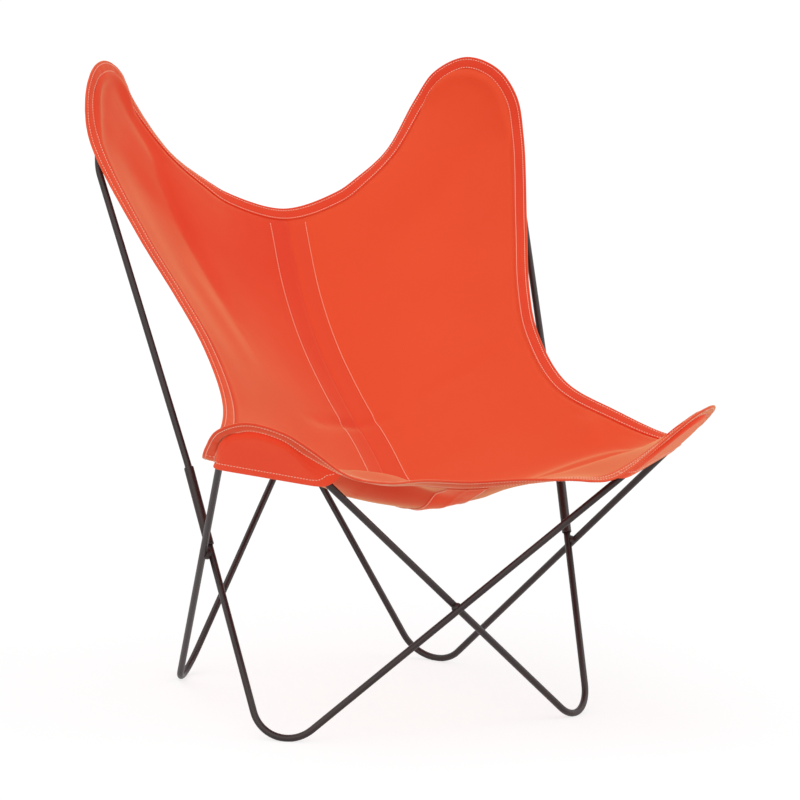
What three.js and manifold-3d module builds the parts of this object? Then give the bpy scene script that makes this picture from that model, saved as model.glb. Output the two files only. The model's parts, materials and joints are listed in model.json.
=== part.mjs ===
// Butterfly sling chair: a knock-down frame of bent round rod that carries a canvas sling by four pockets.
// Millimetres, +Z up, the sitter faces -Y, and the origin is on the floor under the middle of the chair.
import * as THREE from 'three';
import { mergeVertices } from 'three/addons/utils/BufferGeometryUtils.js';
import Module from 'manifold-3d';

const wasm = await Module();
wasm.setup();

// Rod, fits and facets
const rodDiameter = 10;
const restGap = 0.3;
const rodSides = 12;
const bendSteps = 9;
const footFlat = 0.4;
const floorSlab = 40;

// Corners of the bent rods on one side, where the straight stretches would meet, and the elbows' drop
// below the back peak
const frontPeak = { x: 390, y: -395, z: 517 };
const frontFoot = { x: 260, y: -225, z: -32 };
const backFoot = { x: 210, y: 225, z: -34 };
const sideAim = { x: 302, y: -12, z: 367 };
const backAim = { x: 64, y: 302, z: 462 };
const backPeak = { x: 313, y: 353, z: 1033 };
const sideElbow = { x: 347, y: 234 };
const backElbow = { x: 226, y: 358 };
const elbowDrop = 269;

// Inside radii of the bends, on the rod's centre line
const frontPeakRadius = 56;
const frontFootRadius = 52;
const backFootRadius = 57;
const kneeRadius = 60;
const elbowRadius = 90;
const backPeakRadius = 60;

// Sleeves that join each upright bow to the base, and the weld beads
const sleeveLength = 118;
const sleeveWall = 1.7;
const sleeveLift = 12;
const sleeveChamfer = 0.8;
const sleeveSegments = 24;
const kneeLead = 5;
const rodEndGap = 2;
const weldRadius = 8;
const weldSegments = 24;

// Sling: cloth, hem, pockets and the strip behind the centre seam
const clothThickness = 1.5;
const hemWidth = 17;
const hemThickness = 3;
const pocketThickness = 1.2;
const stripHalfWidth = 31;
const stripThickness = 1.2;
const hemSnug = 4.5;
const clothLift = 7.5;
const pocketDrop = 7;
const topCentre = { y: 339, z: 692 };
const frontCentre = { y: -325, z: 371 };

// Lobe of the hem round each rod peak, in degrees from the peak
const lobeAngles = [-73, -37, 0, 37, 73];

// Free stretches of the hem, as shares of the chord between their ends
const topEdgeShares = [
  { across: 0.371, rise: 0.14, back: 0.108 },
  { across: 0.532, rise: 0.262, back: 0.27 },
  { across: 0.772, rise: 0.524, back: 0.59 },
];
const sideEdgeShares = [
  { along: 0.039, inward: 0, down: 0.061 },
  { along: 0.216, inward: 0.062, down: 0.137 },
  { along: 0.349, inward: 0.111, down: 0.175 },
  { along: 0.465, inward: 0.14, down: 0.189 },
  { along: 0.627, inward: 0.141, down: 0.179 },
  { along: 0.778, inward: 0.095, down: 0.128 },
  { along: 0.929, inward: 0.013, down: 0.075 },
];
const frontEdgeShares = [
  { across: 0.801, rise: 0.391, back: 1.049 },
  { across: 0.565, rise: 0.058, back: 0.873 },
  { across: 0.304, rise: 0.046, back: 0.359 },
];

// Centre seam: how far along its chord, and how far it hangs below it, as shares of the sling's depth
const seamShares = [
  { along: 0.05, sag: 0.059 },
  { along: 0.116, sag: 0.125 },
  { along: 0.224, sag: 0.187 },
  { along: 0.36, sag: 0.2235 },
  { along: 0.5105, sag: 0.2426 },
  { along: 0.646, sag: 0.245 },
  { along: 0.7515, sag: 0.2195 },
  { along: 0.849, sag: 0.16 },
  { along: 0.932, sag: 0.081 },
];
const valleyShares = { back: 0.3, front: 0.01 };
const edgeFades = { back: 1, front: 10 };
const stepsPerSpan = 2;
const stripColumns = 2;
const stripHalvings = 30;

// Pockets: how many outline points each runs past its lobe, and how its cloth runs
const pocketTailPoints = 1;
const pocketTuckShare = 0.5;
const pocketTurnShare = 0.5;
const pocketRows = 4;

const paint = new THREE.MeshStandardMaterial({ color: 0x2b2322, roughness: 0.45, metalness: 0.3 });
const canvas = new THREE.MeshStandardMaterial({ color: 0xe8502f, roughness: 0.9, metalness: 0 });
const canvasBack = new THREE.MeshStandardMaterial({ color: 0xd9472a, roughness: 0.9, metalness: 0 });

const chair = new THREE.Group();

function addPiece(name, geometry, material) {
  const mesh = new THREE.Mesh(geometry, material);
  mesh.name = name;
  chair.add(mesh);
  return mesh;
}

// Booleans
function toSolid(geometry) {
  const bare = geometry.clone();
  bare.deleteAttribute('normal');
  bare.deleteAttribute('uv');
  const merged = mergeVertices(bare);
  return new wasm.Manifold(new wasm.Mesh({
    numProp: 3,
    vertProperties: new Float32Array(merged.attributes.position.array),
    triVerts: new Uint32Array(merged.index.array),
  }));
}

function toGeometry(solid) {
  const mesh = solid.getMesh();
  const geometry = new THREE.BufferGeometry();
  geometry.setAttribute('position', new THREE.BufferAttribute(new Float32Array(mesh.vertProperties), 3));
  geometry.setIndex(new THREE.BufferAttribute(new Uint32Array(mesh.triVerts), 1));
  geometry.computeVertexNormals();
  return geometry;
}

// Rod paths
function bendAt(before, corner, after, radius) {
  const toBefore = before.clone().sub(corner).normalize();
  const toAfter = after.clone().sub(corner).normalize();
  const half = toBefore.angleTo(toAfter) / 2;
  const bisector = toBefore.clone().add(toAfter).normalize();
  const centre = corner.clone().addScaledVector(bisector, radius / Math.sin(half));
  const outward = bisector.clone().negate();
  const across = toBefore.clone().sub(toAfter).normalize();
  const sweep = Math.PI / 2 - half;
  const at = (angle) => centre.clone()
    .addScaledVector(outward, radius * Math.cos(angle))
    .addScaledVector(across, radius * Math.sin(angle));
  const tangent = (angle) => outward.clone().multiplyScalar(Math.sin(angle))
    .addScaledVector(across, -Math.cos(angle));
  return { centre, outward, across, sweep, at, tangent };
}

class BentRod extends THREE.Curve {
  constructor(corners, radii) {
    super();
    this.stations = [];
    const last = corners.length - 1;
    const startWay = corners[1].clone().sub(corners[0]).normalize();
    const endWay = corners[last].clone().sub(corners[last - 1]).normalize();
    this.stations.push({ point: corners[0].clone(), tangent: startWay });
    for (let i = 1; i < last; i++) {
      const bend = bendAt(corners[i - 1], corners[i], corners[i + 1], radii[i - 1]);
      const steps = Math.max(1, Math.ceil(bendSteps * bend.sweep / (Math.PI / 2)));
      for (let k = 0; k <= steps; k++) {
        const angle = bend.sweep * (1 - 2 * k / steps);
        this.stations.push({ point: bend.at(angle), tangent: bend.tangent(angle) });
      }
    }
    this.stations.push({ point: corners[last].clone(), tangent: endWay });
    this.steps = this.stations.length - 1;
  }

  getPointAt(share, target = new THREE.Vector3()) {
    return target.copy(this.stations[Math.round(share * this.steps)].point);
  }

  getTangentAt(share, target = new THREE.Vector3()) {
    return target.copy(this.stations[Math.round(share * this.steps)].tangent);
  }
}

function rodGeometry(path) {
  const section = new THREE.Shape();
  section.absarc(0, 0, rodDiameter / 2, 0, Math.PI * 2);
  return new THREE.ExtrudeGeometry(section, {
    steps: path.steps,
    extrudePath: path,
    curveSegments: rodSides / 2,
    bevelEnabled: false,
  });
}

function vector(place, side, shift) {
  return new THREE.Vector3(side * place.x, place.y + shift, place.z);
}

// Where two straight stretches pass each other: the nearest points and the way between them
function crossing(fromA, toA, fromB, toB) {
  const alongA = toA.clone().sub(fromA);
  const alongB = toB.clone().sub(fromB);
  const between = fromA.clone().sub(fromB);
  const aa = alongA.dot(alongA);
  const ab = alongA.dot(alongB);
  const bb = alongB.dot(alongB);
  const ad = alongA.dot(between);
  const bd = alongB.dot(between);
  const divisor = aa * bb - ab * ab;
  const onA = fromA.clone().addScaledVector(alongA, (ab * bd - bb * ad) / divisor);
  const onB = fromB.clone().addScaledVector(alongB, (aa * bd - ab * ad) / divisor);
  const normal = alongA.clone().cross(alongB).normalize();
  return { onA, onB, alongA: alongA.normalize(), alongB: alongB.normalize(), normal };
}

// Working copies of the corners that the fits below move a little
const foot = { ...frontFoot };
const aim = { ...sideAim };
const heel = { ...backFoot };
let frontShift = rodDiameter / 2;
let backShift = rodDiameter / 2;

// One loop of the base and its bow: the side leg and back leg are on one side, the rest on the other
function loopCorners(side) {
  const front = side * frontShift;
  const back = side * backShift;
  const elbowHeight = backPeak.z - elbowDrop;
  return {
    sideAim: vector(aim, side, front),
    frontFoot: vector(foot, side, front),
    frontPeak: vector(frontPeak, -side, front),
    backFoot: vector(heel, -side, back),
    backAim: vector(backAim, side, back),
    sideElbow: vector({ ...sideElbow, z: elbowHeight }, side, back),
    backPeak: vector(backPeak, side, back),
    backElbow: vector({ ...backElbow, z: elbowHeight }, side, back),
  };
}

function lowest(bend) {
  let low = Infinity;
  for (let k = 0; k <= bendSteps; k++) {
    low = Math.min(low, bend.at(bend.sweep * (1 - 2 * k / bendSteps)).z);
  }
  return low;
}

// The rods just touch where they cross, and all four feet stand on the floor
const settlePasses = 6;
const touch = rodDiameter + restGap;
for (let pass = 0; pass < settlePasses; pass++) {
  const right = loopCorners(1);
  const left = loopCorners(-1);
  const atFront = crossing(right.frontFoot, right.frontPeak, left.frontFoot, left.frontPeak);
  const atBack = crossing(right.backFoot, right.backAim, left.backFoot, left.backAim);
  const atSide = crossing(right.frontFoot, right.sideAim, left.backFoot, left.frontPeak);
  frontShift = touch / 2 / Math.abs(atFront.normal.y);
  backShift = touch / 2 / Math.abs(atBack.normal.y);
  const apart = atSide.onB.clone().sub(atSide.onA).dot(atSide.normal) * Math.sign(atSide.normal.x);
  const inward = (apart - touch) / Math.abs(atSide.normal.x);
  foot.x += inward;
  aim.x += inward;
  const ground = rodDiameter / 2 - footFlat;
  foot.z += ground - lowest(bendAt(right.sideAim, right.frontFoot, right.frontPeak, frontFootRadius));
  heel.z += ground - lowest(bendAt(right.frontPeak, right.backFoot, right.backAim, backFootRadius));
}

const loops = { right: loopCorners(1), left: loopCorners(-1) };
const sideOf = { right: 1, left: -1 };
const otherSide = { right: 'left', left: 'right' };
const meetings = {
  front: crossing(loops.right.frontFoot, loops.right.frontPeak, loops.left.frontFoot, loops.left.frontPeak),
  back: crossing(loops.right.backFoot, loops.right.backAim, loops.left.backFoot, loops.left.backAim),
};
for (const name of ['right', 'left']) {
  const loop = loops[name];
  const other = loops[otherSide[name]];
  meetings[`side_${name}`] = crossing(loop.frontFoot, loop.sideAim, other.backFoot, other.frontPeak);
}

// A sleeve sits on its leg just above the crossing, and the bow's rod bends just above the sleeve
function sleeveOn(leg, start) {
  const way = leg.to.clone().sub(leg.from).normalize();
  const bottom = start.clone().addScaledVector(way, sleeveLift);
  const middle = bottom.clone().addScaledVector(way, sleeveLength / 2);
  const knee = bottom.clone().addScaledVector(way, sleeveLength + kneeLead);
  return { way, bottom, middle, knee };
}

function sleeveGeometry(sleeve) {
  const bore = rodDiameter / 2 + restGap;
  const outer = bore + sleeveWall;
  const profile = [
    [bore, 0],
    [outer - sleeveChamfer, 0],
    [outer, sleeveChamfer],
    [outer, sleeveLength - sleeveChamfer],
    [outer - sleeveChamfer, sleeveLength],
    [bore, sleeveLength],
    [bore, 0],
  ];
  const geometry = new THREE.LatheGeometry(profile.map(([r, h]) => new THREE.Vector2(r, h)), sleeveSegments);
  const turn = new THREE.Quaternion().setFromUnitVectors(new THREE.Vector3(0, 1, 0), sleeve.way);
  geometry.applyQuaternion(turn);
  geometry.translate(sleeve.bottom.x, sleeve.bottom.y, sleeve.bottom.z);
  return geometry;
}

function weldGeometry(meeting) {
  const middle = meeting.onA.clone().lerp(meeting.onB, 0.5);
  let bead = toSolid(new THREE.SphereGeometry(weldRadius, weldSegments, weldSegments / 2)
    .translate(middle.x, middle.y, middle.z));
  const room = (rodDiameter / 2 + restGap) / Math.cos(Math.PI / weldSegments);
  for (const [on, along] of [[meeting.onA, meeting.alongA], [meeting.onB, meeting.alongB]]) {
    const rod = new THREE.CylinderGeometry(room, room, weldRadius * 4, weldSegments);
    rod.applyQuaternion(new THREE.Quaternion().setFromUnitVectors(new THREE.Vector3(0, 1, 0), along));
    rod.translate(on.x, on.y, on.z);
    bead = bead.subtract(toSolid(rod));
  }
  return toGeometry(bead);
}

// Base rods, bows, sleeves and welds
const slabSpan = (frontPeak.x - frontPeak.y) * 2;
const belowFloor = toSolid(new THREE.BoxGeometry(slabSpan, slabSpan, floorSlab)
  .translate(0, 0, -floorSlab / 2));
const peaks = { back: {}, front: {} };
for (const name of ['right', 'left']) {
  const loop = loops[name];
  const sideMeeting = meetings[`side_${name}`];
  const backPoint = name === 'right' ? meetings.back.onA : meetings.back.onB;
  const sideSleeve = sleeveOn({ from: loop.frontFoot, to: loop.sideAim }, sideMeeting.onA);
  const backSleeve = sleeveOn({ from: loop.backFoot, to: loop.backAim }, backPoint);
  const end = (sleeve, way) => sleeve.middle.clone().addScaledVector(sleeve.way, way * rodEndGap / 2);

  const base = new BentRod(
    [end(sideSleeve, -1), loop.frontFoot, loop.frontPeak, loop.backFoot, end(backSleeve, -1)],
    [frontFootRadius, frontPeakRadius, backFootRadius],
  );
  addPiece(`base_rod_${name}`, toGeometry(toSolid(rodGeometry(base)).subtract(belowFloor)), paint);

  const bow = new BentRod(
    [end(sideSleeve, 1), sideSleeve.knee, loop.sideElbow, loop.backPeak, loop.backElbow, backSleeve.knee,
      end(backSleeve, 1)],
    [kneeRadius, elbowRadius, backPeakRadius, elbowRadius, kneeRadius],
  );
  addPiece(`upright_bow_${name}`, rodGeometry(bow), paint);
  addPiece(`side_sleeve_${name}`, sleeveGeometry(sideSleeve), paint);
  addPiece(`back_sleeve_${name}`, sleeveGeometry(backSleeve), paint);
  addPiece(`side_weld_${name}`, weldGeometry(sideMeeting), paint);
  peaks.back[name] = bendAt(loop.sideElbow, loop.backPeak, loop.backElbow, backPeakRadius);
  peaks.front[otherSide[name]] = bendAt(loop.backFoot, loop.frontPeak, loop.frontFoot, frontPeakRadius);
}
addPiece('front_weld', weldGeometry(meetings.front), paint);
addPiece('back_weld', weldGeometry(meetings.back), paint);

// Outline of the sling, from the middle of the top edge round one side to the middle of the front edge
const seamTop = new THREE.Vector3(0, topCentre.y, topCentre.z);
const seamFront = new THREE.Vector3(0, frontCentre.y, frontCentre.z);
const slingDepth = seamTop.y - seamFront.y;
const seamHang = seamShares.map(({ along, sag }) => {
  const point = seamTop.clone().lerp(seamFront, along);
  point.z -= sag * slingDepth;
  return point;
});

// The way from the rod peak's plane towards the sitter
const sitter = new THREE.Vector3(0, -1, 1);
function sitterWay(bend) {
  const normal = bend.across.clone().cross(bend.outward).normalize();
  return normal.dot(sitter) < 0 ? normal.negate() : normal;
}

// The hem goes round a rod peak in an arc, and the cloth inside it climbs over the rod
function lobe(bend) {
  const reach = bend.at(0).distanceTo(bend.centre) + rodDiameter / 2 + hemSnug + hemWidth;
  const climb = clothLift * reach / Math.sqrt(hemWidth ** 2 - clothLift ** 2);
  const pole = bend.centre.clone().addScaledVector(sitterWay(bend), climb);
  return lobeAngles.map((degrees) => {
    const angle = THREE.MathUtils.degToRad(degrees);
    const point = bend.centre.clone()
      .addScaledVector(bend.outward, reach * Math.cos(angle))
      .addScaledVector(bend.across, reach * Math.sin(angle));
    return { point, pole };
  });
}

function edgeFrom(centre, end, shares, pole) {
  return shares.map(({ across, rise, back }) => {
    const point = new THREE.Vector3(
      end.x * across,
      centre.y + (end.y - centre.y) * back,
      centre.z + (end.z - centre.z) * rise,
    );
    return { point, pole };
  });
}

function sideEdge(from, to, side) {
  const chord = from.distanceTo(to);
  return sideEdgeShares.map(({ along, inward, down }) => {
    const point = from.clone().lerp(to, along);
    point.x -= side * inward * chord;
    point.z -= down * chord;
    const pole = seamHang[Math.round(along * (seamHang.length - 1))];
    return { point, pole };
  });
}

function halfOutline(name) {
  const back = lobe(peaks.back[name]);
  const front = lobe(peaks.front[name]).reverse();
  const top = edgeFrom(seamTop, back[0].point, topEdgeShares, seamHang[1]);
  const near = edgeFrom(seamFront, front.at(-1).point, frontEdgeShares, seamHang.at(-2));
  const flank = sideEdge(back.at(-1).point, front[0].point, sideOf[name]);
  return [...top, ...back, ...flank, ...front, ...near];
}

const middleTop = { point: seamTop, pole: seamHang[0] };
const middleFront = { point: seamFront, pole: seamHang.at(-1) };
const outline = [
  middleTop, ...halfOutline('right'), middleFront, ...halfOutline('left').reverse(),
];
const backApex = topEdgeShares.length + 1 + (lobeAngles.length - 1) / 2;
const frontApex = outline.length / 2 - backApex;
const outerEdge = new THREE.CatmullRomCurve3(outline.map(({ point }) => point), true);
const innerEdge = new THREE.CatmullRomCurve3(outline.map(({ point, pole }, i) => {
  const along = outerEdge.getTangent(i / outline.length);
  const inward = pole.clone().sub(point);
  inward.addScaledVector(along, -inward.dot(along)).normalize();
  return point.clone().addScaledVector(inward, hemWidth);
}), true);

// A place on either edge, counted in outline points from the middle of the top
function edgeAt(curve, side, place) {
  const share = place / outline.length;
  return curve.getPoint(side > 0 ? share : (1 - share) % 1);
}

// The place where the edge is as far from the seam as the strip's border
function stripPlace(side, from, to) {
  let near = from;
  let far = to;
  for (let halving = 0; halving < stripHalvings; halving++) {
    const middle = (near + far) / 2;
    if (Math.abs(edgeAt(innerEdge, side, middle).x) < stripHalfWidth) near = middle;
    else far = middle;
  }
  return near;
}

function spread(from, to, perSpan) {
  const count = Math.abs(to - from) * perSpan;
  return Array.from({ length: count + 1 }, (_, k) => from + (to - from) * k / count);
}

function placesFor(side) {
  const half = outline.length / 2;
  const topStrip = stripPlace(side, 0, 1);
  const frontStrip = stripPlace(side, half, half - 1);
  return {
    top: [0, topStrip / 2, topStrip, ...spread(1, backApex, stepsPerSpan)],
    flank: spread(backApex, frontApex, stepsPerSpan),
    front: [half, (half + frontStrip) / 2, frontStrip, ...spread(half - 1, frontApex, stepsPerSpan)],
  };
}

function lengthShares(points) {
  const lengths = [0];
  for (let i = 1; i < points.length; i++) {
    lengths.push(lengths[i - 1] + points[i].distanceTo(points[i - 1]));
  }
  return lengths.map((length) => length / lengths.at(-1));
}

// Half of the sling: a patch between its seam and its three edges, with a rounded valley along the seam
const seamEnds = [edgeAt(innerEdge, 1, 0), edgeAt(innerEdge, 1, outline.length / 2)];
const seamCurve = new THREE.CatmullRomCurve3([seamEnds[0], ...seamHang.slice(1), seamEnds[1]]);
function valley(across, down) {
  const round = THREE.MathUtils.lerp(valleyShares.back, valleyShares.front, down);
  return (Math.hypot(across, round) - round) / (Math.hypot(1, round) - round);
}

function clothGrid(side) {
  const places = placesFor(side);
  const top = places.top.map((place) => edgeAt(innerEdge, side, place));
  const front = places.front.map((place) => edgeAt(innerEdge, side, place));
  const flank = places.flank.map((place) => edgeAt(innerEdge, side, place));
  const topShares = lengthShares(top);
  const frontShares = lengthShares(front);
  const flankShares = lengthShares(flank);
  const ruled = (column, row) => {
    const down = flankShares[row];
    const out = valley((topShares[column] + frontShares[column]) / 2, down);
    return seamCurve.getPointAt(down).lerp(flank[row], out);
  };
  const last = flank.length - 1;
  const rows = flankShares.map((down, row) => topShares.map((_, column) => {
    const topPull = top[column].clone().sub(ruled(column, 0));
    const frontPull = front[column].clone().sub(ruled(column, last));
    return ruled(column, row)
      .addScaledVector(topPull, (1 - down) ** edgeFades.back)
      .addScaledVector(frontPull, down ** edgeFades.front);
  }));
  return { rows, places };
}

// Normals of a grid of points, from the faces round each point, towards the sitter
function gridNormals(rows) {
  const normals = rows.map((row) => row.map(() => new THREE.Vector3()));
  const addFace = (...corners) => {
    const [a, b, c] = corners.map(([i, j]) => rows[i][j]);
    const face = b.clone().sub(a).cross(c.clone().sub(a));
    for (const [i, j] of corners) normals[i][j].add(face);
  };
  for (let i = 0; i + 1 < rows.length; i++) {
    for (let j = 0; j + 1 < rows[0].length; j++) {
      addFace([i, j], [i + 1, j], [i + 1, j + 1]);
      addFace([i, j], [i + 1, j + 1], [i, j + 1]);
    }
  }
  const total = new THREE.Vector3();
  normals.flat().forEach((normal) => total.add(normal));
  const turn = total.dot(sitter) < 0 ? -1 : 1;
  return normals.map((row) => row.map((normal) => normal.normalize().multiplyScalar(turn)));
}

// A closed sheet of even thickness on a grid of points
function sheetGeometry(rows, normals, thickness) {
  const height = rows.length;
  const width = rows[0].length;
  const layer = height * width;
  const place = [];
  for (const offset of [thickness / 2, -thickness / 2]) {
    rows.forEach((row, i) => row.forEach((point, j) => {
      place.push(...point.clone().addScaledVector(normals[i][j], offset).toArray());
    }));
  }
  const faces = [];
  const quad = (a, b, c, d) => faces.push(a, b, c, a, c, d);
  const at = (i, j) => i * width + j;
  const span = (a, b) => rows[a[0]][a[1]].distanceTo(rows[b[0]][b[1]]);
  for (let i = 0; i + 1 < height; i++) {
    for (let j = 0; j + 1 < width; j++) {
      const corners = [[i, j], [i + 1, j], [i + 1, j + 1], [i, j + 1]];
      if (span(corners[0], corners[2]) > span(corners[1], corners[3])) corners.push(corners.shift());
      const [a, b, c, d] = corners.map((corner) => at(...corner));
      quad(a, b, c, d);
      quad(layer + a, layer + d, layer + c, layer + b);
    }
  }
  const rim = [];
  for (let j = 0; j + 1 < width; j++) rim.push([at(0, j), at(0, j + 1)]);
  for (let i = 0; i + 1 < height; i++) rim.push([at(i, width - 1), at(i + 1, width - 1)]);
  for (let j = width - 1; j > 0; j--) rim.push([at(height - 1, j), at(height - 1, j - 1)]);
  for (let i = height - 1; i > 0; i--) rim.push([at(i, 0), at(i - 1, 0)]);
  for (const [a, b] of rim) quad(a, b, layer + b, layer + a);
  const geometry = new THREE.BufferGeometry();
  geometry.setAttribute('position', new THREE.Float32BufferAttribute(place, 3));
  geometry.setIndex(facingOut(place, faces));
  geometry.computeVertexNormals();
  return geometry;
}

function facingOut(place, faces) {
  const corner = (k) => new THREE.Vector3().fromArray(place, faces[k] * 3);
  let volume = 0;
  for (let k = 0; k < faces.length; k += 3) {
    volume += corner(k).dot(corner(k + 1).cross(corner(k + 2)));
  }
  if (volume > 0) return faces;
  const turned = [];
  for (let k = 0; k < faces.length; k += 3) turned.push(faces[k], faces[k + 2], faces[k + 1]);
  return turned;
}

// Sling halves, each drawn back from the seam by half the gap
const halves = {};
for (const name of ['right', 'left']) {
  const side = sideOf[name];
  const { rows, places } = clothGrid(side);
  const normals = gridNormals(rows);
  for (const row of normals) row[0].setX(0).normalize();
  for (const row of rows) row[0].setX(side * restGap / 2);
  halves[name] = { side, rows, normals, places };
  addPiece(`sling_half_${name}`, sheetGeometry(rows, normals, clothThickness), canvas);
}

// Strip behind the centre seam, on the same grid as the halves
const stripGrid = { rows: [], normals: [] };
const stripDrop = clothThickness / 2 + restGap * 2 + stripThickness / 2;
halves.right.rows.forEach((_, i) => {
  const pick = (field) => [
    ...halves.left[field][i].slice(1, stripColumns + 1).reverse(),
    halves.left[field][i][0].clone().lerp(halves.right[field][i][0], 0.5),
    ...halves.right[field][i].slice(1, stripColumns + 1),
  ].map((value) => value.clone());
  const normals = pick('normals').map((normal) => normal.normalize());
  stripGrid.normals.push(normals);
  stripGrid.rows.push(pick('rows').map((point, j) => point.addScaledVector(normals[j], -stripDrop)));
});
addPiece('seam_strip', sheetGeometry(stripGrid.rows, stripGrid.normals, stripThickness), canvasBack);

// Hem: a thick band round the cloth in four lengths that meet at the peaks
function hemStations(name, part) {
  const { side, rows, normals, places } = halves[name];
  const last = rows.length - 1;
  const edge = {
    top: { rows: rows[0], normals: normals[0] },
    flank: { rows: rows.map((row) => row.at(-1)), normals: normals.map((row) => row.at(-1)) },
    front: { rows: rows[last], normals: normals[last] },
  }[part];
  return places[part].map((place, i) => {
    const outer = edgeAt(outerEdge, side, place);
    const inner = edgeAt(innerEdge, side, place);
    return { inner, outer, normal: edge.normals[i].clone(), place };
  });
}

function drawBack(stations) {
  const ends = [[stations[0], stations[1]], [stations.at(-1), stations.at(-2)]];
  for (const [end, next] of ends) {
    const share = restGap / end.outer.distanceTo(next.outer);
    end.inner.lerp(next.inner, share);
    end.outer.lerp(next.outer, share);
  }
  return stations;
}

function hemGeometry(stations) {
  const rows = drawBack(stations).map(({ inner, outer }) => [
    inner.clone().lerp(outer, restGap / hemWidth),
    outer.clone(),
  ]);
  const normals = stations.map(({ normal }) => [normal, normal]);
  return sheetGeometry(rows, normals, hemThickness);
}

const acrossBoth = (part) => [
  ...hemStations('left', part).slice(1).reverse(),
  ...hemStations('right', part),
];
addPiece('hem_back', hemGeometry(acrossBoth('top')), canvas);
addPiece('hem_front', hemGeometry(acrossBoth('front')), canvas);
addPiece('hem_side_right', hemGeometry(hemStations('right', 'flank')), canvas);
addPiece('hem_side_left', hemGeometry(hemStations('left', 'flank')), canvas);

// Pockets: cloth from under the hem, behind the rod peak, to a straight mouth
function legAt(bend, way, start, inward) {
  const point = bend.at(way * bend.sweep);
  const along = bend.tangent(way * bend.sweep).multiplyScalar(-way);
  const reach = start.clone().sub(point).dot(inward) / along.dot(inward);
  return point.addScaledVector(along, reach);
}

function pocketMouth(bend, start, end, columns) {
  const away = sitterWay(bend).negate();
  const chord = end.clone().sub(start).normalize();
  const inward = bend.outward.clone().addScaledVector(chord, -bend.outward.dot(chord)).normalize();
  const [before, after] = [1, -1].map((way) => legAt(bend, way, start, inward));
  const legs = start.distanceTo(before) < start.distanceTo(after) ? [before, after] : [after, before];
  const [first, second] = legs.map((leg) => leg.addScaledVector(away, pocketDrop));
  first.addScaledVector(chord, -pocketDrop);
  second.addScaledVector(chord, pocketDrop);
  const outer = stepsPerSpan;
  return Array.from({ length: columns + 1 }, (_, i) => {
    if (i < outer) return start.clone().lerp(first, (i + 1) / (outer + 1));
    if (i > columns - outer) return end.clone().lerp(second, (columns - i + 1) / (outer + 1));
    return first.clone().lerp(second, (i - outer) / (columns - 2 * outer));
  });
}

const pocketReach = (lobeAngles.length - 1) / 2 + pocketTailPoints;
function pocketGeometry(name, bend, apex) {
  const away = sitterWay(bend).negate();
  const parts = apex === backApex ? ['top', 'flank'] : ['flank', 'front'];
  const [first, second] = parts.map((part) => hemStations(name, part));
  const around = [...first, ...(parts[1] === 'front' ? second.reverse() : second).slice(1)];
  const stations = around.filter(({ place }) => Math.abs(place - apex) <= pocketReach);
  const tuck = hemThickness / 2 + restGap + pocketThickness;
  const edge = stations.map(({ inner, outer }) => inner.clone().lerp(outer, pocketTuckShare)
    .addScaledVector(away, tuck));
  const columns = edge.length - 1;
  const mouth = pocketMouth(bend, edge[0], edge.at(-1), columns);
  const rows = edge.map((start, i) => {
    const flat = Math.min(1, i / stepsPerSpan, (columns - i) / stepsPerSpan);
    const turn = start.clone().lerp(mouth[i], Math.min(pocketTurnShare,
      hemWidth * pocketTuckShare / start.distanceTo(mouth[i])));
    const lift = turn.clone().sub(bend.centre).dot(away);
    turn.addScaledVector(away, (pocketDrop - lift) * flat);
    const rest = Array.from({ length: pocketRows }, (_, k) => (
      turn.clone().lerp(mouth[i], (k + 1) / pocketRows)
    ));
    return [start, turn, ...rest];
  });
  return sheetGeometry(rows, gridNormals(rows), pocketThickness);
}

for (const name of ['right', 'left']) {
  addPiece(`pocket_back_${name}`, pocketGeometry(name, peaks.back[name], backApex), canvasBack);
  addPiece(`pocket_front_${name}`, pocketGeometry(name, peaks.front[name], frontApex), canvasBack);
}

// The origin on the floor under the middle
const middle = new THREE.Box3().setFromObject(chair).getCenter(new THREE.Vector3());
for (const piece of chair.children) piece.geometry.translate(-middle.x, -middle.y, 0);

export default chair;
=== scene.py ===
import json
import math

import bpy
import numpy as np
from mathutils import Matrix, Vector

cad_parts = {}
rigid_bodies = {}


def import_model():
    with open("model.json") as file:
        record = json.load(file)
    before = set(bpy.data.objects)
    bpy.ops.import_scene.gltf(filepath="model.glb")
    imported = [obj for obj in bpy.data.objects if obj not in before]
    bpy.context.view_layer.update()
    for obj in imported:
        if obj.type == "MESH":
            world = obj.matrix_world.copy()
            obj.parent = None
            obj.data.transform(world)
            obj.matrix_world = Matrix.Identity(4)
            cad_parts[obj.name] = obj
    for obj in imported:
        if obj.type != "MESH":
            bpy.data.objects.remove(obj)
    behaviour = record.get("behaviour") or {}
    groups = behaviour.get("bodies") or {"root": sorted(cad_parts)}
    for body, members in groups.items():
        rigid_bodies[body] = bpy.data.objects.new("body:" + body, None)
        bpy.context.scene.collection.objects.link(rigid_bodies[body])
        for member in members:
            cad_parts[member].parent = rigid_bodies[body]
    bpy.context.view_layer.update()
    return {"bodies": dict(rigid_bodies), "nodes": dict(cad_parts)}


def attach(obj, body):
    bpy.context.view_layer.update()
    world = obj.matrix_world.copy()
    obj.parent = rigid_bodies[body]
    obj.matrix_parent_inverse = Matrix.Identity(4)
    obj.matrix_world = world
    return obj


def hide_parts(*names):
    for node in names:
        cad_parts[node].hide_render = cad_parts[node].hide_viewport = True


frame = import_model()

MM = 0.001

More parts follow.
